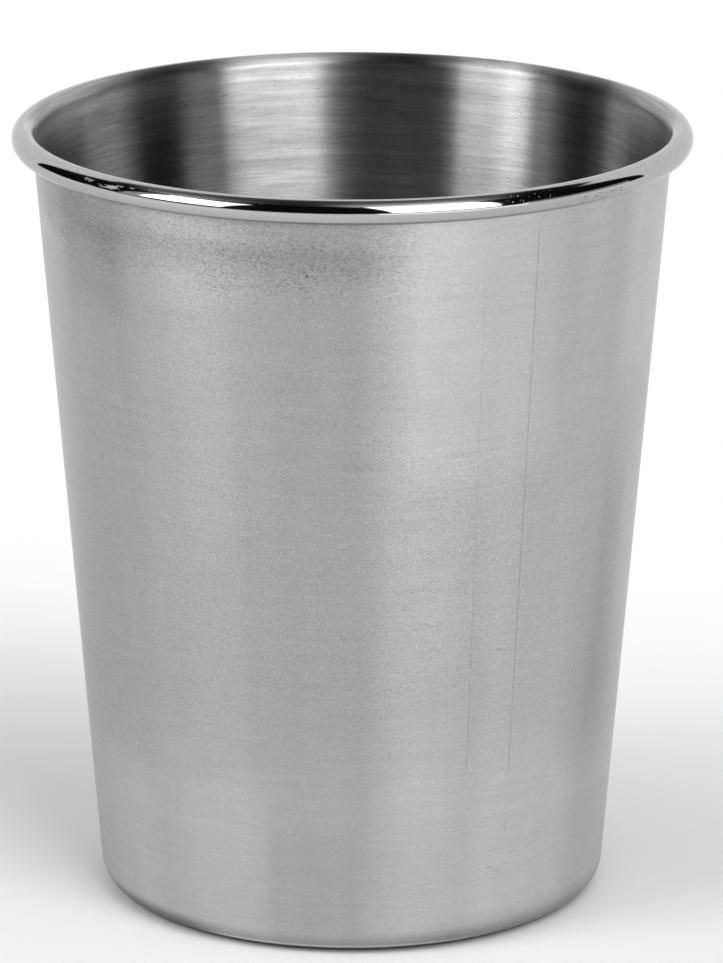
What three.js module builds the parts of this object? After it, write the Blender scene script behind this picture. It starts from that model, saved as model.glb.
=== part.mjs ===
// A tapered drinking cup drawn from thin stainless steel sheet, with a rolled rim.
// Millimetres, +Z up. The origin lies on the cup's axis, on the surface that it stands on.
import * as THREE from "three";

// Driving dimensions
const CUP_HEIGHT = 100;
const RIM_DIAMETER = 86; // over the outside of the rolled rim
const FOOT_DIAMETER = 64.4; // where the outside of the straight wall would meet the table
const SHEET_THICKNESS = 0.5;
const ROLL_DIAMETER = 3.1; // of the tube that the rolled rim forms
const ROLL_EDGE_GAP = 0.1; // between the roll's cut edge and the outside of the wall
const HEEL_RADIUS = 3.7; // outside radius of the bend between wall and base
const STANDING_RING_WIDTH = 2.4; // flat ring that touches the table
const BASE_RECESS = 1; // the base panel is pressed up by this much above the ring
const RECESS_BEND_RADIUS = 1.5; // middle of the sheet, at both bends of the recess

// Facets of the round surfaces
const TURN_SEGMENTS = 80;
const ROLL_SEGMENTS = 16;
const HEEL_SEGMENTS = 6;
const RECESS_SEGMENTS = 4;

// Profiles are drawn in a half plane: x is the distance from the axis, y the height.
function arc(centre, radius, start, end, segments) {
  const clockwise = end < start;
  const curve = new THREE.EllipseCurve(centre.x, centre.y, radius, radius, start, end, clockwise);
  return curve.getPoints(segments);
}

// Both faces of a bend in the sheet share a centre and turn through the same angles.
function bend(centre, lowerRadius, upperRadius, start, end, segments) {
  return {
    lower: arc(centre, lowerRadius, start, end, segments),
    upper: arc(centre, upperRadius, start, end, segments),
  };
}

// The roll's inner face is the outside of the wall, carried over the top and down again.
const rollRadius = ROLL_DIAMETER / 2;
const rollInnerRadius = rollRadius - SHEET_THICKNESS;
const rollCentre = new THREE.Vector2(RIM_DIAMETER / 2 - rollRadius, CUP_HEIGHT - rollRadius);

// The wall leans out so that its outside runs from the foot circle to a tangent of the roll's inner face.
const footRadius = FOOT_DIAMETER / 2;
const footToRoll = new THREE.Vector2(rollCentre.x - footRadius, rollCentre.y);
const wallLean = Math.atan2(footToRoll.x, footToRoll.y) - Math.asin(rollInnerRadius / footToRoll.length());

// The heel touches the table line and the wall's outside.
const heelTangent = HEEL_RADIUS / Math.tan(Math.PI / 4 + wallLean / 2);
const heelCentre = new THREE.Vector2(footRadius - heelTangent, HEEL_RADIUS);
const heelInnerRadius = HEEL_RADIUS - SHEET_THICKNESS;

// The recess is an S of two equal bends between the standing ring and the raised panel.
const recessTurn = Math.acos(1 - BASE_RECESS / (2 * RECESS_BEND_RADIUS));
const recessRun = 2 * RECESS_BEND_RADIUS * Math.sin(recessTurn);
const ringInnerRadius = heelCentre.x - STANDING_RING_WIDTH;
const panelRadius = ringInnerRadius - recessRun;

// Base: a flat panel, pressed up inside the flat ring that the cup stands on.
function baseProfile() {
  const half = SHEET_THICKNESS / 2;
  const tight = RECESS_BEND_RADIUS - half;
  const wide = RECESS_BEND_RADIUS + half;
  const panelBend = new THREE.Vector2(panelRadius, BASE_RECESS + half - RECESS_BEND_RADIUS);
  const ringBend = new THREE.Vector2(ringInnerRadius, half + RECESS_BEND_RADIUS);
  const up = Math.PI / 2;
  const down = -Math.PI / 2;
  const outOfPanel = bend(panelBend, tight, wide, up, up - recessTurn, RECESS_SEGMENTS);
  const intoRing = bend(ringBend, wide, tight, down - recessTurn, down, RECESS_SEGMENTS);
  const underside = [...outOfPanel.lower, ...intoRing.lower.slice(1)];
  const inside = [...outOfPanel.upper, ...intoRing.upper.slice(1)];
  return [
    new THREE.Vector2(0, BASE_RECESS),
    ...underside,
    new THREE.Vector2(heelCentre.x, 0),
    new THREE.Vector2(heelCentre.x, SHEET_THICKNESS),
    ...inside.reverse(),
    new THREE.Vector2(0, BASE_RECESS + SHEET_THICKNESS),
  ];
}

// Wall: the heel's bend and the straight taper above it, up to where the roll begins.
function wallProfile() {
  const straightUp = -wallLean;
  const heel = bend(heelCentre, HEEL_RADIUS, heelInnerRadius, -Math.PI / 2, straightUp, HEEL_SEGMENTS);
  const rollStart = rollSheet();
  return [...heel.lower, rollStart.lower[0], rollStart.upper[0], ...heel.upper.reverse(), heel.lower[0]];
}

// Roll: the sheet turns outward and down until its cut edge almost touches the wall.
function rollSheet() {
  const edgeTurn = Math.acos((rollInnerRadius - ROLL_EDGE_GAP) / rollRadius);
  const start = Math.PI - wallLean;
  const end = start - 2 * Math.PI + edgeTurn;
  return bend(rollCentre, rollInnerRadius, rollRadius, start, end, ROLL_SEGMENTS);
}

function rollProfile() {
  const roll = rollSheet();
  return [...roll.lower, ...roll.upper.reverse(), roll.lower[0]];
}

const satinSteel = new THREE.MeshStandardMaterial({ color: 0xb4b5b6, metalness: 1, roughness: 0.38 });
const plainSteel = new THREE.MeshStandardMaterial({ color: 0xadaeaf, metalness: 1, roughness: 0.45 });
const polishedSteel = new THREE.MeshStandardMaterial({ color: 0xc9cacb, metalness: 1, roughness: 0.1 });

// Lathes turn about Y, so each one is stood up along Z.
function turned(name, profile, material) {
  const geometry = new THREE.LatheGeometry(profile, TURN_SEGMENTS);
  geometry.rotateX(Math.PI / 2);
  const mesh = new THREE.Mesh(geometry, material);
  mesh.name = name;
  return mesh;
}

const cup = new THREE.Group();
cup.add(turned("base_panel", baseProfile(), plainSteel));
cup.add(turned("side_wall", wallProfile(), satinSteel));
cup.add(turned("rolled_rim", rollProfile(), polishedSteel));

export default cup;
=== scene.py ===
# %% [markdown]
# # A drawn steel cup
# This lesson dresses a steel cup for its portrait. The cup is one sheet of stainless steel: a press drew
# it into a tapered wall with a round heel, pressed its floor up a little, and rolled its top edge outward
# into a bead. Three pieces are modelled here, one for each of those zones, and each takes the place of a
# plain CAD solid. The CAD model is the fixed frame: its boxes say where everything is, and nothing in it
# is moved.

# %% Load the frame
import math

import bpy
from mathutils import Euler, Matrix, Vector


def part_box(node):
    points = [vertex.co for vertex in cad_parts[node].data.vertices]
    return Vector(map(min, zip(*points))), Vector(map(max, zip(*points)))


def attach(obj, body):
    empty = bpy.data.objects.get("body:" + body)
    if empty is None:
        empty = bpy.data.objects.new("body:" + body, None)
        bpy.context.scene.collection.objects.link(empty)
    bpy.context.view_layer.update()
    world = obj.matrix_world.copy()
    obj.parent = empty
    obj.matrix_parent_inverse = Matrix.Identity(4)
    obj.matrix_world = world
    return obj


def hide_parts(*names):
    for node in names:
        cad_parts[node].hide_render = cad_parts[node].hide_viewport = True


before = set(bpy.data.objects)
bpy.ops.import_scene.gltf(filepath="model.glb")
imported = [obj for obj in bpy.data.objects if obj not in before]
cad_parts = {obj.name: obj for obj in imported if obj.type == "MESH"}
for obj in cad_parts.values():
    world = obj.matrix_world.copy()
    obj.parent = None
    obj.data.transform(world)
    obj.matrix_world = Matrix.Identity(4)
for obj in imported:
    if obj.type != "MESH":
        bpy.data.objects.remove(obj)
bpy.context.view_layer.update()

print("CAD nodes:", sorted(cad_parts))

# %% [markdown]
# ## Sizes
# Blender works in metres. The outer sizes are read from the CAD boxes, and the few that a box can't show,
# such as the thickness of the sheet, are written here. The rest is geometry: the wall is the straight
# line that touches the round heel on one side and the inside of the rolled rim on the other, so its lean
# follows from those two circles.

# %% Read the outer sizes and work out the sheet's path
MM = 0.001
SHEET = 0.5 * MM
ROLL_RADIUS = 1.55 * MM
ROLL_EDGE_GAP = 0.1 * MM
HEEL_RADIUS = 3.7 * MM
STANDING_RING_WIDTH = 2.4 * MM
BASE_RECESS = 1.0 * MM
RECESS_BEND_RADIUS = 1.5 * MM

BOX_DIGITS = 4
rim_radius = round(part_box("rolled_rim")[1].x, BOX_DIGITS)
cup_height = round(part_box("rolled_rim")[1].z, BOX_DIGITS)
heel_centre = Vector((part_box("base_panel")[1].x, 0, HEEL_RADIUS))
roll_centre = Vector((rim_radius - ROLL_RADIUS, 0, cup_height - ROLL_RADIUS))
roll_inner_radius = ROLL_RADIUS - SHEET
heel_inner_radius = HEEL_RADIUS - SHEET

heel_to_roll = roll_centre - heel_centre
wall_lean = math.atan2(heel_to_roll.x, heel_to_roll.z)
wall_lean -= math.asin((HEEL_RADIUS + roll_inner_radius) / heel_to_roll.length)
wall_outward = Vector((math.cos(wall_lean), 0, -math.sin(wall_lean)))
print("rim radius", rim_radius, "height", cup_height)
print("wall lean in degrees", round(math.degrees(wall_lean), 2))

# %% [markdown]
# ## Drawing a section by hand
# Round sheet metal is easiest to draw as a section: half of the cup, cut through the middle, in the plane
# y = 0. A plane that is merged to a single point makes the first vertex. From there the section grows in
# edit mode: extrude draws a straight stretch, and spin draws a bend. Both faces of the sheet are drawn,
# so the thickness is true everywhere.

# %% Draw a section
QUARTER_TURN = math.pi / 2


def start_section(name, point):
    """Begins a section as one vertex at this point and leaves it selected in edit mode."""
    bpy.ops.object.select_all(action="DESELECT")
    bpy.ops.mesh.primitive_plane_add(size=SHEET, location=(0, 0, 0))
    piece = bpy.context.object
    piece.name = name
    piece.data.name = name
    bpy.ops.object.mode_set(mode="EDIT")
    bpy.ops.mesh.merge(type="CENTER")
    bpy.ops.transform.translate(value=point)
    return piece


def draw_line(start, end):
    """Extrudes the section's last vertex in a straight line."""
    bpy.ops.mesh.extrude_vertices_move(TRANSFORM_OT_translate={"value": end - start})


def draw_bend(centre, angle, steps):
    """Spins the section's last vertex round a centre; a positive angle goes from outward to upward."""
    bpy.ops.mesh.spin(steps=steps, angle=angle, center=centre, axis=(0, 1, 0))


def around(centre, radius, angle):
    """The point at this angle on a circle in the section plane; 0 points outward and 90 degrees up."""
    return centre + radius * Vector((math.cos(angle), 0, math.sin(angle)))


print("sheet thickness in mm", round(SHEET / MM, 3))

# %% [markdown]
# ## Turning a section
# A last spin, about the cup's axis, turns the section into a solid. An open section is closed first, with
# an edge between its two loose ends. The turned copies meet where they started, so doubled vertices are
# merged, and a smooth shade with an angle keeps the square edges of the sheet crisp.

# %% Turn a section
TURN_STEPS = 192
MERGE_DISTANCE = 0.002 * MM
SMOOTH_ANGLE = math.radians(35)


def join_ends(piece):
    """Adds the edge between the two vertices that have only one neighbour."""
    bpy.ops.mesh.select_all(action="DESELECT")
    bpy.ops.object.mode_set(mode="OBJECT")
    neighbours = [0] * len(piece.data.vertices)
    for edge in piece.data.edges:
        neighbours[edge.vertices[0]] += 1
        neighbours[edge.vertices[1]] += 1
    for vertex in piece.data.vertices:
        vertex.select = neighbours[vertex.index] == 1
    bpy.ops.object.mode_set(mode="EDIT")
    bpy.ops.mesh.select_mode(type="VERT")
    bpy.ops.mesh.edge_face_add()


def turn_section(piece, close=True):
    """Closes the section with an edge, turns it about the cup's axis, and finishes the mesh."""
    bpy.ops.mesh.select_all(action="SELECT")
    bpy.ops.mesh.remove_doubles(threshold=MERGE_DISTANCE)
    if close:
        join_ends(piece)
    bpy.ops.mesh.select_all(action="SELECT")
    bpy.ops.mesh.spin(steps=TURN_STEPS, angle=2 * math.pi, center=(0, 0, 0), axis=(0, 0, 1))
    bpy.ops.mesh.select_all(action="SELECT")
    bpy.ops.mesh.remove_doubles(threshold=MERGE_DISTANCE)
    bpy.ops.mesh.normals_make_consistent(inside=False)
    bpy.ops.object.mode_set(mode="OBJECT")
    bpy.ops.object.shade_smooth_by_angle(angle=SMOOTH_ANGLE)
    print(piece.name, len(piece.data.vertices), "vertices", len(piece.data.polygons), "faces")


print("each section is turned in", TURN_STEPS, "steps")

# %% [markdown]
# ## The side wall
# The wall and the heel below it are one smooth curve outside, which is why the studio light runs down it
# without a break. The section starts where the heel touches the table, bends up through the heel, climbs
# the straight taper to the start of the rolled rim, steps across the sheet, and comes back down the
# inside.

# %% Model the side wall
HEEL_STEPS = 20
RIM_STUB = 0.3 * MM
heel_turn = QUARTER_TURN - wall_lean
rim_stub = RIM_STUB * Vector((math.sin(wall_lean), 0, math.cos(wall_lean)))

heel_foot = around(heel_centre, HEEL_RADIUS, -QUARTER_TURN)
wall_top_outside = roll_centre - roll_inner_radius * wall_outward - rim_stub
wall_top_inside = roll_centre - ROLL_RADIUS * wall_outward - rim_stub
wall_foot_outside = heel_centre + HEEL_RADIUS * wall_outward
wall_foot_inside = heel_centre + heel_inner_radius * wall_outward

side_wall = start_section("cup_wall", heel_foot)
draw_bend(heel_centre, heel_turn, HEEL_STEPS)
draw_line(wall_foot_outside, wall_top_outside)
draw_line(wall_top_outside, wall_top_inside)
draw_line(wall_top_inside, wall_foot_inside)
draw_bend(heel_centre, -heel_turn, HEEL_STEPS)
turn_section(side_wall)

# %% [markdown]
# ## The rolled rim
# The rim is the same sheet, rolled outward and down until its cut edge almost touches the wall. It is a
# real hollow roll, not a solid ring: from below, the square edge of the sheet and the dark slot beside it
# can be seen. Two spins about the roll's centre draw it, one for each face of the sheet. The section
# starts with a short straight stub along the wall, so that the shading runs on smoothly from the wall's
# piece to this one.

# %% Model the rolled rim
ROLL_STEPS = 96
roll_start = math.pi - wall_lean
roll_turn = 2 * math.pi - math.acos((roll_inner_radius - ROLL_EDGE_GAP) / ROLL_RADIUS)
edge_outside = around(roll_centre, ROLL_RADIUS, roll_start - roll_turn)
edge_inside = around(roll_centre, roll_inner_radius, roll_start - roll_turn)

rolled_rim = start_section("cup_rim", wall_top_inside)
draw_line(wall_top_inside, wall_top_inside + rim_stub)
draw_bend(roll_centre, -roll_turn, ROLL_STEPS)
draw_line(edge_outside, edge_inside)
draw_bend(roll_centre, roll_turn, ROLL_STEPS)
draw_line(wall_top_outside + rim_stub, wall_top_outside)
turn_section(rolled_rim)

# %% [markdown]
# ## The base panel
# The floor is pressed up inside a flat ring, so the cup stands on the ring and doesn't rock. Two equal
# bends lead from the ring to the raised panel. The section starts and ends on the axis, where the turned
# copies merge.

# %% Model the base panel
RECESS_STEPS = 10
half_sheet = SHEET / 2
recess_turn = math.acos(1 - BASE_RECESS / (2 * RECESS_BEND_RADIUS))
ring_inner_radius = heel_centre.x - STANDING_RING_WIDTH
panel_radius = ring_inner_radius - 2 * RECESS_BEND_RADIUS * math.sin(recess_turn)
panel_bend = Vector((panel_radius, 0, BASE_RECESS + half_sheet - RECESS_BEND_RADIUS))
ring_bend = Vector((ring_inner_radius, 0, half_sheet + RECESS_BEND_RADIUS))
tight_bend = RECESS_BEND_RADIUS - half_sheet
wide_bend = RECESS_BEND_RADIUS + half_sheet
panel_under = Vector((0, 0, BASE_RECESS))
panel_floor = Vector((0, 0, BASE_RECESS + SHEET))
ring_edge_under = Vector((heel_centre.x, 0, 0))
ring_edge_floor = Vector((heel_centre.x, 0, SHEET))

base_panel = start_section("cup_base", panel_under)
draw_line(panel_under, around(panel_bend, tight_bend, QUARTER_TURN))
draw_bend(panel_bend, -recess_turn, RECESS_STEPS)
draw_bend(ring_bend, recess_turn, RECESS_STEPS)
draw_line(around(ring_bend, wide_bend, -QUARTER_TURN), ring_edge_under)
draw_line(ring_edge_under, ring_edge_floor)
draw_line(ring_edge_floor, around(ring_bend, tight_bend, -QUARTER_TURN))
draw_bend(ring_bend, -recess_turn, RECESS_STEPS)
draw_bend(panel_bend, recess_turn, RECESS_STEPS)
draw_line(around(panel_bend, wide_bend, QUARTER_TURN), panel_floor)
turn_section(base_panel, close=False)

# %% [markdown]
# ## Steel from nodes
# Bare steel has one colour and very little texture. What tells one finish from another is its grain: how
# far a highlight is smeared, and in which direction. So every finish here is one metal shader with its
# own roughness and anisotropy, and the fine work goes into the tone and the relief that break the
# reflection up. Node trees grow long, so a few small helpers add nodes and wire them.

# %% Nodes and sums


def put(tree, kind, **settings):
    """Adds a node and sets its properties."""
    node = tree.nodes.new("ShaderNode" + kind)
    for name, value in settings.items():
        setattr(node, name, value)
    return node


def feed(tree, socket, source):
    """Gives an input a plain value or another node's output."""
    if isinstance(source, bpy.types.NodeSocket):
        tree.links.new(source, socket)
    else:
        socket.default_value = source


def calc(tree, operation, *sources):
    """A Math node; each source is a number or an output."""
    node = put(tree, "Math", operation=operation)
    for socket, source in zip(node.inputs, sources):
        feed(tree, socket, source)
    return node.outputs["Value"]


def both(tree, first, second):
    """A mask where two masks overlap."""
    return calc(tree, "MULTIPLY", first, second)


print("node helpers:", [helper.__name__ for helper in (put, feed, calc, both)])

# %% [markdown]
# ## Soft masks
# Wear has no hard edges, so every mask eases in and out. One helper rises, one falls, and one does both
# and so marks a band of values, such as a range of heights.

# %% Masks


def ease(tree, source, start, end, low=0, high=1):
    """Eases from low to high while the source goes from start to end."""
    node = put(tree, "MapRange", interpolation_type="SMOOTHSTEP")
    names = ("Value", "From Min", "From Max", "To Min", "To Max")
    for name, value in zip(names, (source, start, end, low, high)):
        feed(tree, node.inputs[name], value)
    return node.outputs["Result"]


def fall(tree, source, start, end):
    """Eases from one to nothing while the source goes from start to end."""
    return ease(tree, source, start, end, low=1, high=0)


def band(tree, source, low, high, soft):
    """One between two values, easing to nothing over a soft edge outside them."""
    rise = ease(tree, source, low - soft, low)
    return both(tree, rise, fall(tree, source, high, high + soft))


print("mask helpers:", [helper.__name__ for helper in (ease, fall, band)])

# %% [markdown]
# ## The place on the cup
# All patterns are read from the cup's own place in millimetres and degrees, so a mark sits where it is on
# the real cup from any side. Noise is stretched: one size round the axis and another along the sheet,
# which is how a turning cup takes its grain.

# %% Places and patches
IN_MM = 1000


def cup_map(tree):
    """The place on the cup: x, y, height, radius and climb along the sheet in mm, and azimuth in degrees."""
    split = put(tree, "SeparateXYZ")
    feed(tree, split.inputs[0], put(tree, "TexCoord").outputs["Object"])
    x, y, z = (calc(tree, "MULTIPLY", side, IN_MM) for side in split.outputs)
    radius = calc(tree, "SQRT", calc(tree, "MULTIPLY_ADD", x, x, calc(tree, "MULTIPLY", y, y)))
    azimuth = calc(tree, "DEGREES", calc(tree, "ARCTAN2", x, calc(tree, "MULTIPLY", y, -1)))
    climb = calc(tree, "ADD", z, radius)
    return {"x": x, "y": y, "height": z, "radius": radius, "azimuth": azimuth, "climb": climb}


def patches(tree, place, length, width, detail=2, roughness=0.5):
    """Noise in patches of one length round the axis and one width along the sheet, in mm."""
    stretched = put(tree, "CombineXYZ")
    feed(tree, stretched.inputs[0], calc(tree, "DIVIDE", place["x"], length))
    feed(tree, stretched.inputs[1], calc(tree, "DIVIDE", place["y"], length))
    feed(tree, stretched.inputs[2], calc(tree, "DIVIDE", place["climb"], width))
    noise = put(tree, "TexNoise")
    feed(tree, noise.inputs["Vector"], stretched.outputs[0])
    feed(tree, noise.inputs["Scale"], 1)
    feed(tree, noise.inputs["Detail"], detail)
    feed(tree, noise.inputs["Roughness"], roughness)
    return noise.outputs["Fac"]


print("patterns are measured in mm, at", IN_MM, "to the metre")

# %% [markdown]
# ## Tone
# A finish starts as one grey. Patterns take it a share up and down, and masks take it a share darker or,
# with a negative share, brighter. Shares multiply, so each change keeps those before it.

# %% Tone helpers


def vary(tree, tone, noise, share):
    """Takes a tone up and down by a share of itself, as a noise pattern goes."""
    swing = calc(tree, "MULTIPLY_ADD", noise, 2, -1)
    return calc(tree, "MULTIPLY", tone, calc(tree, "MULTIPLY_ADD", swing, share, 1))


def vary_all(tree, tone, patterns):
    """Varies a tone by several patterns, each with its share."""
    for noise, share in patterns:
        tone = vary(tree, tone, noise, share)
    return tone


def shade(tree, tone, mask, share):
    """Darkens a tone by a share of itself under a mask; a negative share brightens it."""
    return calc(tree, "MULTIPLY", tone, calc(tree, "MULTIPLY_ADD", mask, -share, 1))


def shade_all(tree, tone, masks):
    """Shades a tone under several masks, each with its share."""
    for mask, share in masks:
        tone = shade(tree, tone, mask, share)
    return tone


print("tone helpers:", [helper.__name__ for helper in (vary, vary_all, shade, shade_all)])

# %% [markdown]
# ## Bare metal
# Each finish is a metal whose grain runs round the cup's axis, so the tangent is radial about Z and
# turned by a quarter. A grey edge tint keeps the rim of each form from going white where it is seen at a
# low angle. The relief is a bump of a hundredth of a millimetre at most: it shows in the highlights, not
# as a shape.

# %% Metal shader
GRAIN_TURN = 0.25
EDGE_TINT = (0.85, 0.85, 0.85, 1)


def new_steel(name, anisotropy):
    """A bare metal with grain round the axis; each finish adds its tone, roughness and relief."""
    material = bpy.data.materials.new(name)
    material.use_nodes = True
    tree = material.node_tree
    shader = tree.nodes["Principled BSDF"]
    shader.inputs["Metallic"].default_value = 1
    shader.inputs["Specular Tint"].default_value = EDGE_TINT
    shader.inputs["Anisotropic"].default_value = anisotropy
    shader.inputs["Anisotropic Rotation"].default_value = GRAIN_TURN
    tangent = put(tree, "Tangent", direction_type="RADIAL", axis="Z")
    feed(tree, shader.inputs["Tangent"], tangent.outputs["Tangent"])
    return material, tree, shader


def finish_steel(tree, shader, tone, roughness, relief, depth):
    """Wires a finish to its shader: tone as a neutral grey, roughness, and relief of this depth in mm."""
    feed(tree, shader.inputs["Base Color"], tone)
    feed(tree, shader.inputs["Roughness"], roughness)
    bump = put(tree, "Bump")
    feed(tree, bump.inputs["Height"], relief)
    feed(tree, bump.inputs["Distance"], depth * MM)
    feed(tree, shader.inputs["Normal"], bump.outputs["Normal"])


print("edge tint", EDGE_TINT[0], "grain turn", GRAIN_TURN)

# %% [markdown]
# ## The satin outside
# The outside was rubbed with a fine abrasive while the cup turned, so its grain is fine specks and short
# dashes that run round the wall. They smear each lamp far up and down but only a little sideways, which
# is why the highlights are tall soft bands. The patterns are grains, dashes, longer streaks, soft upright
# bands left by the drawing press, broad clouds, and coarser pits for the belt under the rim.

# %% Satin patterns
SATIN_GREY = 0.455
SATIN_ROUGHNESS = 0.35
SATIN_ANISOTROPY = 0.8

satin, tree, shader = new_steel("satin_outside", SATIN_ANISOTROPY)
place = cup_map(tree)
grains = patches(tree, place, length=0.26, width=0.15, detail=1, roughness=0.6)
dashes = patches(tree, place, length=2, width=0.26, detail=3, roughness=0.6)
streaks = patches(tree, place, length=16, width=0.8, detail=3, roughness=0.6)
press_bands = patches(tree, place, length=4, width=160, detail=2)
clouds = patches(tree, place, length=14, width=9, detail=3)
pits = patches(tree, place, length=0.55, width=0.3, detail=1)
fine_pits = patches(tree, place, length=0.36, width=0.22, detail=1)
satin_roughness = vary_all(tree, SATIN_ROUGHNESS, ((clouds, 0.08), (grains, 0.12)))
print("satin patterns:", len(tree.nodes), "nodes")

# %% [markdown]
# ## Where the grain changes
# The abrasive didn't reach everywhere. A belt under the rim on the left kept its pits, the right side was
# rubbed smoother towards the top, and the grain is fainter near the foot. A zone is a mask between two
# azimuths and two heights. Its height wanders with some noise, so that no edge looks ruled.

# %% Satin grain
BELOW = -20
ABOVE = 120
WANDER = 5

wander = patches(tree, place, length=7, width=3, detail=3)
wander = calc(tree, "MULTIPLY_ADD", wander, WANDER, -WANDER / 2)
ragged_height = calc(tree, "ADD", place["height"], wander)


def zone(left, right, soft, bottom, top, fade):
    """A mask between two azimuths and two heights on the wall, with soft edges."""
    upright = band(tree, place["azimuth"], left, right, soft)
    return both(tree, upright, band(tree, ragged_height, bottom, top, fade))


pitted = zone(left=-75, right=6, soft=14, bottom=91, top=ABOVE, fade=9)
pit_belt = zone(left=-24, right=-4, soft=8, bottom=88.5, top=92.6, fade=3)
rubbed = zone(left=14, right=90, soft=8, bottom=72, top=ABOVE, fade=8)
pit_dots = both(tree, ease(tree, fine_pits, start=0.58, end=0.7), pit_belt)
grain_share = ease(tree, place["height"], start=16, end=40, low=0.2, high=0.4)
grain_share = shade(tree, grain_share, rubbed, share=0.35)
pit_share = calc(tree, "MULTIPLY", pitted, 0.3)
tone = vary_all(tree, SATIN_GREY, ((grains, grain_share), (pits, pit_share)))
tone = shade(tree, tone, pit_dots, share=0.36)
tone = vary_all(tree, tone, ((dashes, 0.1), (streaks, 0.08), (press_bands, 0.05), (clouds, 0.05)))
print("satin grain:", len(tree.nodes), "nodes")

# %% [markdown]
# ## Zones of the wall
# The wall isn't one even grey. A mottled darker belt runs under the rim on the left, which is wear; the foot
# is a little lighter, and one patch near it is darker. The other zones are painted light and painted shade:
# soft bands that lighten the right side and the far edges and darken round the highlights, for lamp light
# this studio doesn't give.

# %% Darker and lighter zones
tone = shade(tree, tone, fall(tree, ragged_height, start=18, end=34), share=-0.09)
for name, left, right, soft, bottom, top, fade, share in (
    ("belt under the rim", -85, -4, 14, 93, ABOVE, 6, 0.19),
    ("dull patch at the foot", -17, 0, 3, BELOW, 14, 5, 0.06),
    # painted light: the right side, and the top of it, are lightened for lamp light that the studio doesn't
    # give
    ("bright right side", 34, 46, 14, BELOW, ABOVE, 1, -0.2),
    ("top of the bright side", 31, 38, 6, 68, ABOVE, 8, -0.09),
    # painted shade: the next three rows darken round the reflected highlights
    ("left edge of the highlight", 1, 8, 5, 68, ABOVE, 8, 0.06),
    ("middle of the wall", 3, 24, 7, BELOW, 60, 7, 0.08),
    ("band left of the middle", -36, -21, 6, 26, 82, 6, 0.07),
    # painted light: the far sides of the foot are lightened
    ("foot at the far left", -90, -52, 10, 5, 18, 8, -0.1),
    ("foot at the far right", 53, 90, 8, 5, 18, 8, -0.12),
    ("darkest part of the belt", -61, -49, 7, 85, ABOVE, 6, 0.14),
    # painted light: the far edges under the rim are lightened
    ("far left under the rim", -90, -75, 4, 90, ABOVE, 4, -0.16),
    ("far right under the rim", 63, 90, 7, 76, ABOVE, 8, -0.13),
    ("right end of the belt", 3, 7, 4, 91, ABOVE, 3, 0.08),
):
    tone = shade(tree, tone, zone(left, right, soft, bottom, top, fade), share)
    print(name, "darker" if share > 0 else "lighter", "by", abs(share))

# %% [markdown]
# ## Under the rim and at the heel
# Between the belt and the rim a narrow strip is lighter. At the heel a painted shade darkens the steel, most
# of all on the left and low on the right, where it would reflect the shaded floor; in front a painted
# highlight adds a thin bright line, and a painted shadow makes a dark line where the cup meets the table.

# %% Bright strip and painted shade at the heel
STRIP_WANDER = 0.3

strip_height = calc(tree, "MULTIPLY_ADD", wander, STRIP_WANDER, place["height"])
strip = band(tree, place["azimuth"], low=-50, high=2, soft=9)
strip = both(tree, strip, ease(tree, strip_height, start=92.6, end=94.6))
strip = both(tree, strip, fall(tree, place["height"], start=95.7, end=96.5))
heel_front = band(tree, place["azimuth"], low=-28, high=24, soft=12)
heel_left = fall(tree, place["azimuth"], start=-45, end=-28)
heel_right = ease(tree, place["azimuth"], start=12, end=30)
heel_painted_shade = fall(tree, place["height"], start=1.4, end=3.4)
tall_heel_painted_shade = fall(tree, place["height"], start=2, end=5)
heel_painted_highlight_line = both(tree, band(tree, place["height"], low=0.95, high=1.15, soft=0.2), heel_front)
contact_painted_shadow = fall(tree, place["height"], start=0.6, end=0.95)
# painted shade, painted highlight and painted shadow at the heel, for the floor it reflects and its contact
# shadow
tone = shade_all(tree, tone, (
    (strip, -0.18),
    (heel_painted_shade, 0.22),
    (both(tree, heel_painted_shade, heel_left), 0.5),
    (both(tree, tall_heel_painted_shade, heel_right), 0.22),
    (heel_painted_highlight_line, -0.75),
    (contact_painted_shadow, 0.85),
))
print("strip and heel added:", len(tree.nodes), "nodes")

# %% [markdown]
# ## Lines and level marks
# Two fine lines run down the right of the wall. A speck of grit in the press scored them as the sheet was
# drawn, so they follow the slope of the wall from the rim almost to the foot, now and then fainter.
# Beside them are a soft grey smear, two faint level rubs, a nick, and one dark pit in the belt.

# %% Draw lines, smear, rubs, nick and pit


def draw_mark(azimuth, lean, low, high, width, fade=2):
    """A mask along the wall: a thin line at one azimuth that leans by some degrees from foot to rim."""
    leaning = calc(tree, "MULTIPLY_ADD", place["height"], lean / (cup_height / MM), place["azimuth"])
    line = band(tree, leaning, azimuth - width / 4, azimuth + width / 4, width / 2)
    return both(tree, line, band(tree, place["height"], low, high, fade))


def level_mark(height, left, right, width, fade=0.5):
    """A mask round the wall: a thin level line between two azimuths."""
    line = band(tree, place["height"], height - width / 2, height + width / 2, width / 2)
    return both(tree, line, band(tree, place["azimuth"], left, right, fade))


broken = patches(tree, place, length=3, width=2.5, detail=3)
broken = ease(tree, broken, start=0.3, end=0.6, low=0.5, high=1)
long_line = draw_mark(azimuth=35.2, lean=0.6, low=24, high=93, width=0.26)
long_line = both(tree, long_line, broken)
line_stub = draw_mark(azimuth=35.2, lean=0.6, low=15.2, high=16.2, width=0.26, fade=0.6)
second_line = draw_mark(azimuth=24.9, lean=0.9, low=25, high=91, width=0.2)
second_line_foot = draw_mark(azimuth=24.9, lean=0.9, low=26, high=48, width=0.2)
smear = draw_mark(azimuth=63, lean=0, low=34, high=52, width=10, fade=16)
left_rub = level_mark(height=65.5, left=0, right=5, width=0.8, fade=3)
right_rub = level_mark(height=66.4, left=19, right=23, width=0.5, fade=3)
rubs = calc(tree, "MAXIMUM", left_rub, right_rub)
rubs = both(tree, rubs, ease(tree, dashes, start=0.35, end=0.6))
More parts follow.
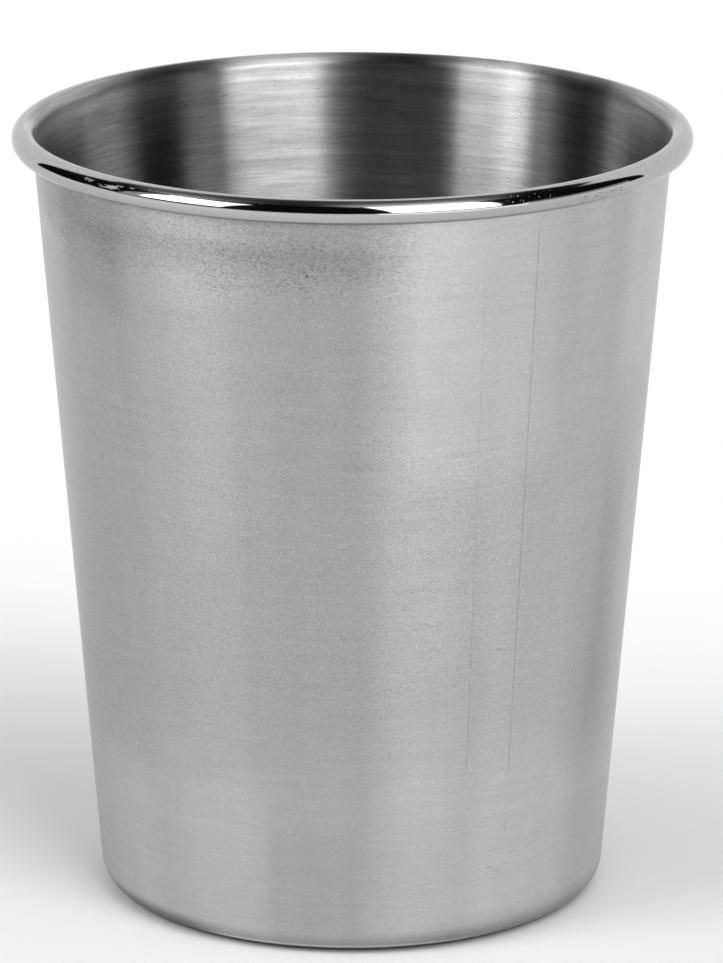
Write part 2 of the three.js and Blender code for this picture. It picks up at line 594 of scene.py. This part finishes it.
nick = level_mark(height=40, left=30.6, right=32.2, width=0.2)
dark_pit = level_mark(height=90, left=-8.2, right=-7.8, width=0.24, fade=0.2)
print("line masks:", len(tree.nodes), "nodes")

# %% [markdown]
# ## Scuffs, and the finished satin
# Above the heel on the right is a cluster of short scuffs of uneven depth, on a slight slant, as a knock
# from the side leaves them. With them the satin is complete. The long line is also cut into the relief,
# because a fingernail would catch on it.

# %% Scuffs and the satin shader
SCUFF_SLANT = -0.015
SATIN_RELIEF = 0.004

slanted = calc(tree, "MULTIPLY_ADD", place["azimuth"], SCUFF_SLANT, place["climb"])
scuffs = patches(tree, dict(place, climb=slanted), length=1.5, width=0.27, detail=0)
scuffs = ease(tree, scuffs, start=0.6, end=0.76)
scuff_sides = band(tree, place["azimuth"], low=31, high=44, soft=2)
scuff_area = both(tree, scuff_sides, band(tree, place["height"], low=9, high=12.4, soft=1))
scuff_depth = patches(tree, place, length=2.5, width=1.5, detail=1)
scuff_depth = ease(tree, scuff_depth, start=0.4, end=0.62, low=0.45, high=1)
scuffs = both(tree, both(tree, scuffs, scuff_area), scuff_depth)
tone = shade_all(tree, tone, (
    (long_line, 0.27),
    (line_stub, 0.25),
    (both(tree, second_line, broken), 0.12),
    (both(tree, second_line_foot, broken), 0.13),
    (smear, 0.13),
    (rubs, 0.12),
    (scuffs, 0.26),
    (nick, 0.15),
    (dark_pit, 0.45),
))
relief = calc(tree, "SUBTRACT", grains, long_line)
finish_steel(tree, shader, tone, satin_roughness, relief, SATIN_RELIEF)
print(satin.name, len(tree.nodes), "nodes")

# %% [markdown]
# ## The brushed inside
# Inside, a coarser brush ran round the wall and left broken streaks with a fine grain between them. They
# smear the reflections upright even more than outside, but leave them sharp sideways, so the mouth shows
# upright bars of light and dark with thin level streaks across them. Just under the lip a painted highlight
# brightens the steel, further down a painted shade darkens it so that less light bounces round the inside,
# and here and there it is tarnished.

# %% Brushed streaks
BRUSHED_GREY = 0.48
BRUSHED_ANISOTROPY = 1

brushed, tree, shader = new_steel("brushed_inside", BRUSHED_ANISOTROPY)
place = cup_map(tree)
brush_grains = patches(tree, place, length=0.35, width=0.18, detail=1)
fine_streaks = patches(tree, place, length=9, width=0.22, detail=3, roughness=0.6)
middle_streaks = patches(tree, place, length=6, width=0.55, detail=2, roughness=0.6)
wide_streaks = patches(tree, place, length=22, width=1.6, detail=2)
tarnish = ease(tree, patches(tree, place, length=1.6, width=0.5, detail=2), start=0.66, end=0.76)
top_painted_highlight = ease(tree, place["height"], start=95.6, end=97.4)
top_painted_highlight = both(tree, top_painted_highlight, fall(tree, place["height"], start=97.4, end=98.6))
deep_painted_shade = fall(tree, place["height"], start=62, end=76)
tone = vary_all(tree, BRUSHED_GREY, (
    (brush_grains, 0.18),
    (fine_streaks, 0.32),
    (middle_streaks, 0.35),
    (wide_streaks, 0.22),
))
# painted highlight under the lip and painted shade deep inside; the tarnish is real
tone = shade_all(tree, tone, ((tarnish, 0.3), (top_painted_highlight, -0.28), (deep_painted_shade, 0.25)))
print("brushed streaks:", len(tree.nodes), "nodes")

# %% [markdown]
# ## Evening out the bars inside
# The bars in the mouth are reflections of the lamps and of the dark between them, seen again and again
# across the cup. A handful of lamps can't give all of their edges, so soft upright bands of tone help:
# darker in the dark bars and at both ends of the oval, and a little brighter low down in the bright ones.

# %% Upright bands inside
low_down = fall(tree, place["height"], start=83, end=93)
bar_share = ease(tree, place["height"], start=85, end=96, low=0.4, high=0.12)
left_dark_bar = band(tree, place["azimuth"], low=-144, high=-137, soft=3.5)
left_bright_bar = band(tree, place["azimuth"], low=-176, high=-160, soft=3)
right_bright_bar = band(tree, place["azimuth"], low=144, high=150, soft=3)
oval_ends = band(tree, calc(tree, "ABSOLUTE", place["azimuth"]), low=102, high=114, soft=7)
oval_ends = both(tree, oval_ends, fall(tree, place["height"], start=91, end=98.5))
inside_bands = [(both(tree, left_dark_bar, bar_share), 1)]
for name, left, right, soft, share in (
    ("middle dark bar", 165, 176, 4, 0.1),
    ("its right edge", 161.2, 162.5, 3, 0.26),
    ("middle of the right bright bar", 151, 153, 2.5, 0.1),
    ("right of the right bright bar", 145, 148, 3, -0.09),
    ("grey edge beside it", 139.5, 140.5, 2, -0.2),
    ("right dark bar", 126, 129.5, 4, 0.4),
):
    inside_bands.append((band(tree, place["azimuth"], left, right, soft), share))
    print(name, "darker" if share > 0 else "lighter", "by", abs(share))
inside_bands.append((oval_ends, 0.42))
inside_bands.append((both(tree, left_bright_bar, low_down), -0.15))
inside_bands.append((both(tree, right_bright_bar, low_down), -0.08))

# %% [markdown]
# ## The lip
# Over the lip the brushed inside runs into the polished rim. In front, where mouths and cloths rub it,
# the lip is smooth, and a painted highlight lightens its tone; behind it is dull. The angle round the roll
# tells where on the lip a point is, so the roughness can change from the crest to the inside.

# %% Lip and the brushed shader
BRUSHED_ROUGHNESS = 0.305
LIP_ROUGHNESS = 0.43
CREST_ROUGHNESS = 0.12
CREST_TURN = 90
LIP_TURN = 106
BRUSHED_RELIEF = 0.01


def roll_turn_angle(tree, place):
    """The direction from the roll's centre in degrees: 0 is outward, 90 is the crest, 180 is the inside."""
    inward = calc(tree, "SUBTRACT", roll_centre.x / MM, place["radius"])
    up = calc(tree, "SUBTRACT", place["height"], roll_centre.z / MM)
    past_crest = calc(tree, "DEGREES", calc(tree, "ARCTAN2", inward, up))
    return calc(tree, "ADD", past_crest, CREST_TURN)


turn = roll_turn_angle(tree, place)
lip_front = band(tree, place["azimuth"], low=-48, high=48, soft=20)
lip_painted_highlight = both(tree, band(tree, turn, low=97, high=130, soft=8), lip_front)
# painted highlight: the front of the lip is lightened in tone
tone = shade(tree, tone, lip_painted_highlight, share=-0.4)
tone = shade_all(tree, tone, inside_bands)
lip_behind = ease(tree, calc(tree, "ABSOLUTE", place["azimuth"]), start=84, end=98)
lip_top = calc(tree, "MULTIPLY_ADD", lip_behind, LIP_ROUGHNESS - CREST_ROUGHNESS, CREST_ROUGHNESS)
lip_rise = ease(tree, turn, CREST_TURN, LIP_TURN, CREST_ROUGHNESS, lip_top)
lip_drop = calc(tree, "SUBTRACT", lip_top, BRUSHED_ROUGHNESS)
lip_fall = ease(tree, turn, start=140, end=176, low=0, high=lip_drop)
lip_roughness = calc(tree, "SUBTRACT", lip_rise, lip_fall)
brushed_roughness = vary(tree, lip_roughness, wide_streaks, share=0.12)
finish_steel(tree, shader, tone, brushed_roughness, fine_streaks, BRUSHED_RELIEF)
print(brushed.name, len(tree.nodes), "nodes")

# %% [markdown]
# ## The polished rim
# The roll was burnished after it was closed, so it is close to a mirror and shows each lamp as a white
# bar with a sharp edge. Hairlines from the burnishing tool run round it, and its sides keep a little more
# grain. Knocks have left their marks: a patch of scrapes on the left, fine grit on the right, dents below
# that, and specks. The scrapes and the grit are also lightened in tone as painted glints.

# %% Burnished roll and its marks
RIM_GREY = 0.46
RIM_ANISOTROPY = 0.8

polished, tree, shader = new_steel("polished_rim", RIM_ANISOTROPY)
place = cup_map(tree)
turn = roll_turn_angle(tree, place)
hairlines = patches(tree, place, length=14, width=0.12, detail=2)
rim_grains = patches(tree, place, length=0.4, width=0.15, detail=1)
specks = ease(tree, patches(tree, place, length=0.5, width=0.4, detail=1), start=0.74, end=0.8)
scrapes_and_glints = ease(tree, patches(tree, place, length=3, width=0.2, detail=2), start=0.53, end=0.6)
grit_and_glints = ease(tree, patches(tree, place, length=0.3, width=0.22, detail=1), start=0.62, end=0.72)
dents = ease(tree, patches(tree, place, length=1.1, width=0.3, detail=1), start=0.55, end=0.66)


def rim_area(left, right, soft, start_turn, end_turn):
    """A mask between two azimuths and two angles round the roll."""
    sides = band(tree, place["azimuth"], left, right, soft)
    return both(tree, sides, band(tree, turn, start_turn, end_turn, soft=6))


scrapes_and_glints = both(tree, rim_area(left=-50, right=-39, soft=2, start_turn=14, end_turn=38), scrapes_and_glints)
grit_and_glints = both(tree, rim_area(left=28, right=33, soft=3, start_turn=12, end_turn=50), grit_and_glints)
dents = both(tree, rim_area(left=41, right=50, soft=2, start_turn=-34, end_turn=-6), dents)
tone = vary(tree, RIM_GREY, hairlines, share=0.08)
# the scrapes and the grit are real marks, lightened far past the steel's grey as painted glints
tone = shade_all(tree, tone, ((specks, 0.3), (scrapes_and_glints, -1.1), (grit_and_glints, -1), (dents, 0.5)))
side_share = calc(tree, "ABSOLUTE", place["azimuth"])
side_share = ease(tree, side_share, start=40, end=65, low=0.12, high=0.24)
tone = vary(tree, tone, rim_grains, side_share)
print("rim tone:", len(tree.nodes), "nodes")

# %% [markdown]
# ## Wear on the roll
# A mirror finish doesn't last. The shoulder just outside the crest is worn, most of all in front, the
# underside was polished less from the start, and towards the crest the roll takes on the lip's own
# finish. The marks are rougher than the steel round them, so they catch light where the mirror shows the
# dark.

# %% Roughness of the roll
RIM_ROUGHNESS = 0.07
RIM_RELIEF = 0.0006
SIDE_WEAR = 0.3
WORN_ROUGHNESS = 0.2
UNDERSIDE_ROUGHNESS = 0.1

worn_front = band(tree, place["azimuth"], low=-34, high=24, soft=8)
worn_front = calc(tree, "MULTIPLY_ADD", worn_front, 1 - SIDE_WEAR, SIDE_WEAR)
worn_shoulder = both(tree, band(tree, turn, low=46, high=64, soft=12), worn_front)
near_crest = ease(tree, turn, start=70, end=CREST_TURN, low=0, high=CREST_ROUGHNESS - RIM_ROUGHNESS)
underside = ease(tree, turn, start=-30, end=0, low=UNDERSIDE_ROUGHNESS, high=0)
rim_roughness = vary(tree, RIM_ROUGHNESS, hairlines, share=0.4)
rim_roughness = calc(tree, "MULTIPLY_ADD", worn_shoulder, WORN_ROUGHNESS, rim_roughness)
rim_roughness = calc(tree, "ADD", rim_roughness, near_crest)
rim_roughness = calc(tree, "ADD", rim_roughness, underside)
for mark, added in ((specks, 0.2), (scrapes_and_glints, 0.4), (grit_and_glints, 0.4)):
    rim_roughness = calc(tree, "MULTIPLY_ADD", mark, added, rim_roughness)
finish_steel(tree, shader, tone, rim_roughness, hairlines, RIM_RELIEF)
print(polished.name, len(tree.nodes), "nodes")

# %% [markdown]
# ## The drawn base
# The floor and the underside keep the grain of a lathe brush: rings round the axis. The same pattern
# serves, because its width is measured along the sheet, which on a flat panel is the distance from the
# axis.

# %% Ringed base
BASE_GREY = 0.54
BASE_ROUGHNESS = 0.38
BASE_ANISOTROPY = 0.7
BASE_RELIEF = 0.004

base_steel, tree, shader = new_steel("drawn_base", BASE_ANISOTROPY)
place = cup_map(tree)
rings = patches(tree, place, length=16, width=0.25, detail=3, roughness=0.6)
dull_clouds = patches(tree, place, length=9, width=9, detail=3)
tone = vary_all(tree, BASE_GREY, ((rings, 0.14), (dull_clouds, 0.06)))
base_roughness = vary(tree, BASE_ROUGHNESS, dull_clouds, share=0.1)
finish_steel(tree, shader, tone, base_roughness, rings, BASE_RELIEF)
print(base_steel.name, len(tree.nodes), "nodes")

# %% [markdown]
# ## Finishes on the pieces
# The base has one finish. The wall has two, because the sheet was rubbed outside and brushed inside: its
# faces are sorted by whether they look away from the axis or towards it. The rim has two as well. It is
# polished outside and brushed past the crest, where the lip begins.

# %% Put the finishes on


def looks_inward(face):
    """True on faces that look towards the cup's axis."""
    return face.normal.x * face.center.x + face.normal.y * face.center.y < 0


def past_crest(face):
    """True on faces of the roll that lie nearer to the axis than its crest."""
    return math.hypot(face.center.x, face.center.y) < roll_centre.x


def two_finishes(piece, first, second, takes_second):
    """Gives a piece two finishes and sorts its faces between them."""
    piece.data.materials.append(first)
    piece.data.materials.append(second)
    for face in piece.data.polygons:
        face.material_index = 1 if takes_second(face) else 0
    print(piece.name, sum(face.material_index for face in piece.data.polygons), "faces", second.name)


two_finishes(side_wall, satin, brushed, looks_inward)
two_finishes(rolled_rim, polished, brushed, past_crest)
base_panel.data.materials.append(base_steel)

# %% [markdown]
# ## Tie the pieces to the frame
# Nothing on the cup moves, so all three pieces ride on the one body. Each hides the CAD solid that it
# stands for.

# %% Ride and replace
for piece, node, slot in (
    (side_wall, "side_wall", "wall_steel"),
    (rolled_rim, "rolled_rim", "rim_steel"),
    (base_panel, "base_panel", "base_steel"),
):
    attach(piece, "root")
    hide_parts(node)
    print(piece.name, "replaces", node)

# %% [markdown]
# ## The floor
# Polished metal has no look of its own: it shows the room. So the room is built with care, and the floor
# comes first. Near the cup it is plain pale card that takes the shadow. Behind the cup, at its sides and
# far out it fades to pure white, for the eye and for reflections alike, so that no horizon line cuts the
# picture.

# %% Floor shape and its white fade
FLOOR_RADIUS = 6
FLOOR_CORNERS = 96
FLOOR_GREY = 0.85
BEHIND_SLANT = 0.25
BEHIND_START = 0.01
BEHIND_END = 0.15
BESIDE_SLANT = 0.6
BESIDE_START = 0.12
BESIDE_END = 0.32
FAR_START = 0.35
FAR_END = 1.0

bpy.ops.object.select_all(action="DESELECT")
bpy.ops.mesh.primitive_circle_add(vertices=FLOOR_CORNERS, radius=FLOOR_RADIUS, fill_type="NGON")
floor = bpy.context.object
floor.name = "floor"
floor_card = bpy.data.materials.new("pale_card")
floor_card.use_nodes = True
tree = floor_card.node_tree
tree.nodes.clear()
spot = put(tree, "TexCoord").outputs["Object"]
reach = put(tree, "VectorMath", operation="LENGTH")
feed(tree, reach.inputs[0], spot)
split = put(tree, "SeparateXYZ")
feed(tree, split.inputs[0], spot)
slanted = calc(tree, "MULTIPLY", split.outputs["X"], BEHIND_SLANT)
slanted = calc(tree, "ADD", split.outputs["Y"], slanted)
behind = ease(tree, slanted, BEHIND_START, BEHIND_END)
spread = calc(tree, "MULTIPLY", calc(tree, "ABSOLUTE", split.outputs["X"]), BESIDE_SLANT)
spread = calc(tree, "ADD", split.outputs["Y"], spread)
beside = ease(tree, spread, BESIDE_START, BESIDE_END)
far = ease(tree, reach.outputs["Value"], FAR_START, FAR_END)
fade = calc(tree, "MAXIMUM", calc(tree, "MAXIMUM", behind, beside), far)
print("floor radius", FLOOR_RADIUS)

# %% [markdown]
# ## Card and white
# The card is a plain diffuse grey, and the white is an emission. A light path node tells them apart: the
# eye and the reflections see the white, while the light that bounces off the floor only ever meets the
# card.

# %% Floor shader


def seen_directly(tree):
    """One for rays from the camera, a reflection or a transmission; nothing for light on its way."""
    path = put(tree, "LightPath")
    seen = calc(tree, "MAXIMUM", path.outputs["Is Camera Ray"], path.outputs["Is Glossy Ray"])
    return calc(tree, "MAXIMUM", seen, path.outputs["Is Transmission Ray"])


def mix_shaders(tree, share, first, second, output):
    """Mixes two shaders by a share of the second and wires them to the tree's output."""
    mix = put(tree, "MixShader")
    feed(tree, mix.inputs["Fac"], share)
    feed(tree, mix.inputs[1], first)
    feed(tree, mix.inputs[2], second)
    feed(tree, put(tree, output).inputs["Surface"], mix.outputs["Shader"])


card = put(tree, "BsdfDiffuse")
card.inputs["Color"].default_value = (FLOOR_GREY, FLOOR_GREY, FLOOR_GREY, 1)
white = put(tree, "Emission")
white_share = both(tree, fade, seen_directly(tree))
mix_shaders(tree, white_share, card.outputs["BSDF"], white.outputs["Emission"], "OutputMaterial")
floor.data.materials.append(floor_card)
print(floor_card.name, len(tree.nodes), "nodes")

# %% [markdown]
# ## The lamps
# The reflections in the rim give the studio away: two tall panels of light stand in front of the cup, one
# well to the left and one to the right, each tipped down a little towards it. The left one is hotter in
# its left half and has a dim narrow wing. A dim patch of ceiling glows above the right one, a low strip
# lights the foot, and a low dim card stands further round. Each is an area lamp, and its power follows
# from how bright it looks.

# %% Panels of light


def light_panel(name, azimuth, distance, height, width, length, tip, radiance):
    """A lamp that faces the cup's axis and tips down by some degrees; azimuth 0 is towards the camera."""
    side = math.radians(azimuth)
    lean = math.radians(tip)
    way = Vector((math.sin(side), -math.cos(side), 0))
    bpy.ops.object.light_add(type="AREA", location=distance * way + Vector((0, 0, height)))
    panel = bpy.context.object
    panel.name = name
    facing = math.cos(lean) * way + Vector((0, 0, math.sin(lean)))
    panel.rotation_euler = facing.to_track_quat("Z", "Y").to_euler()
    panel.data.shape = "RECTANGLE"
    panel.data.size = width
    panel.data.size_y = length
    panel.data.energy = radiance * math.pi * width * length
    panel.visible_camera = False
    print(name, "watts", round(panel.data.energy, 2))


# name, azimuth, distance, height, width, length, tip, radiance
for panel_sizes in (
    ("left_panel", -57, 0.541, 0.39, 0.31, 0.45, 14, 3.35),
    ("left_hot_half", -65.2, 0.54, 0.39, 0.155, 0.45, 14, 1.9),
    ("left_wing", -75.5, 0.6, 0.36, 0.09, 0.5, 0, 0.5),
    ("right_panel", 31, 0.9, 0.763, 0.695, 1.23, 17, 3.6),
    ("ceiling_glow", 30, 0.513, 1.51, 0.8, 0.42, 70, 0.8),
    ("foot_glow", 33, 0.6, 0.046, 0.56, 0.085, 0, 1.1),
    ("low_card", 80, 1.3, 0.13, 1.1, 0.3, 0, 0.4),
):
    light_panel(*panel_sizes)

# %% [markdown]
# ## The dark tent
# The black bars between the lamps are as much a part of polished steel as the white ones. A dome of black
# cloth gives them. It is left open behind the cup, where the white backdrop shows, and it only shows in
# reflections: it shades nothing, and the camera looks straight through it.

# %% Dome of black cloth
TENT_RADIUS = 2.2
TENT_SEGMENTS = 90
TENT_RINGS = 60
TENT_BLACK = 0.012
OPEN_LEFT = -128
OPEN_RIGHT = 112
OPEN_TOP = 48

bpy.ops.object.select_all(action="DESELECT")
bpy.ops.mesh.primitive_uv_sphere_add(segments=TENT_SEGMENTS, ring_count=TENT_RINGS, radius=TENT_RADIUS)
tent = bpy.context.object
tent.name = "dark_tent"
bpy.ops.object.mode_set(mode="EDIT")
bpy.ops.mesh.select_mode(type="FACE")
bpy.ops.mesh.select_all(action="DESELECT")
bpy.ops.object.mode_set(mode="OBJECT")
for face in tent.data.polygons:
    azimuth = math.degrees(math.atan2(face.center.x, -face.center.y))
    elevation = math.degrees(math.asin(face.center.z / face.center.length))
    open_side = azimuth < OPEN_LEFT or azimuth > OPEN_RIGHT
    face.select = elevation < 0 or (open_side and elevation < OPEN_TOP)
bpy.ops.object.mode_set(mode="EDIT")
bpy.ops.mesh.delete(type="FACE")
bpy.ops.object.mode_set(mode="OBJECT")
print(tent.name, len(tent.data.polygons), "faces left")

# %% [markdown]
# ## Black cloth
# The cloth is almost black and has no sheen at all. Three visibility switches keep the dome out of the
# camera's sight, out of the bounced light and out of the shadows.

# %% Cloth on the dome
black_cloth = bpy.data.materials.new("black_cloth")
black_cloth.use_nodes = True
cloth = black_cloth.node_tree.nodes["Principled BSDF"]
cloth.inputs["Base Color"].default_value = (TENT_BLACK, TENT_BLACK, TENT_BLACK, 1)
cloth.inputs["Roughness"].default_value = 1
cloth.inputs["Specular IOR Level"].default_value = 0
tent.data.materials.append(black_cloth)
tent.visible_camera = False
tent.visible_diffuse = False
tent.visible_shadow = False
print(black_cloth.name, "on", tent.name)

# %% [markdown]
# ## The backdrop
# The world is the white backdrop. The camera and reflections see it as pure white, and the light that it
# sheds on the floor is a softer fill. It isn't sampled as a lamp, because such samples would pass through
# the dark tent.

# %% World
FILL = 0.48
WHITE = 1.0


def background(tree, strength):
    """A white background of this strength."""
    node = put(tree, "Background")
    node.inputs["Color"].default_value = (1, 1, 1, 1)
    node.inputs["Strength"].default_value = strength
    return node.outputs["Background"]


world = bpy.data.worlds.new("backdrop")
bpy.context.scene.world = world
world.use_nodes = True
world.cycles.sampling_method = "NONE"
tree = world.node_tree
tree.nodes.clear()
mix_shaders(tree, seen_directly(tree), background(tree, FILL), background(tree, WHITE), "OutputWorld")
print("fill", FILL, "backdrop", WHITE)

# %% [markdown]
# ## The camera
# A long lens stands well back and looks down at the mouth, so the cup's sides hardly converge. The place,
# tilt and lens were worked out together from the ovals of the rim and foot, which only one camera can
# draw at these sizes.

# %% Camera
CAMERA_DISTANCE = 0.8084
CAMERA_HEIGHT = 0.2859
CAMERA_TILT = 16.08
CAMERA_PAN = 0.085
CAMERA_ROLL = 0.082
CAMERA_LENS = 245.5

bpy.ops.object.camera_add()
camera = bpy.context.object
camera.name = "camera"
camera.data.lens = CAMERA_LENS
aim = Euler((math.radians(90 - CAMERA_TILT), 0, math.radians(-CAMERA_PAN))).to_matrix().to_4x4()
roll = Matrix.Rotation(math.radians(CAMERA_ROLL), 4, "Z")
camera.matrix_world = Matrix.Translation((0, -CAMERA_DISTANCE, CAMERA_HEIGHT)) @ aim @ roll
bpy.context.scene.camera = camera
bpy.context.scene.view_settings.view_transform = "Standard"
print("camera at", tuple(round(v, 4) for v in camera.location))
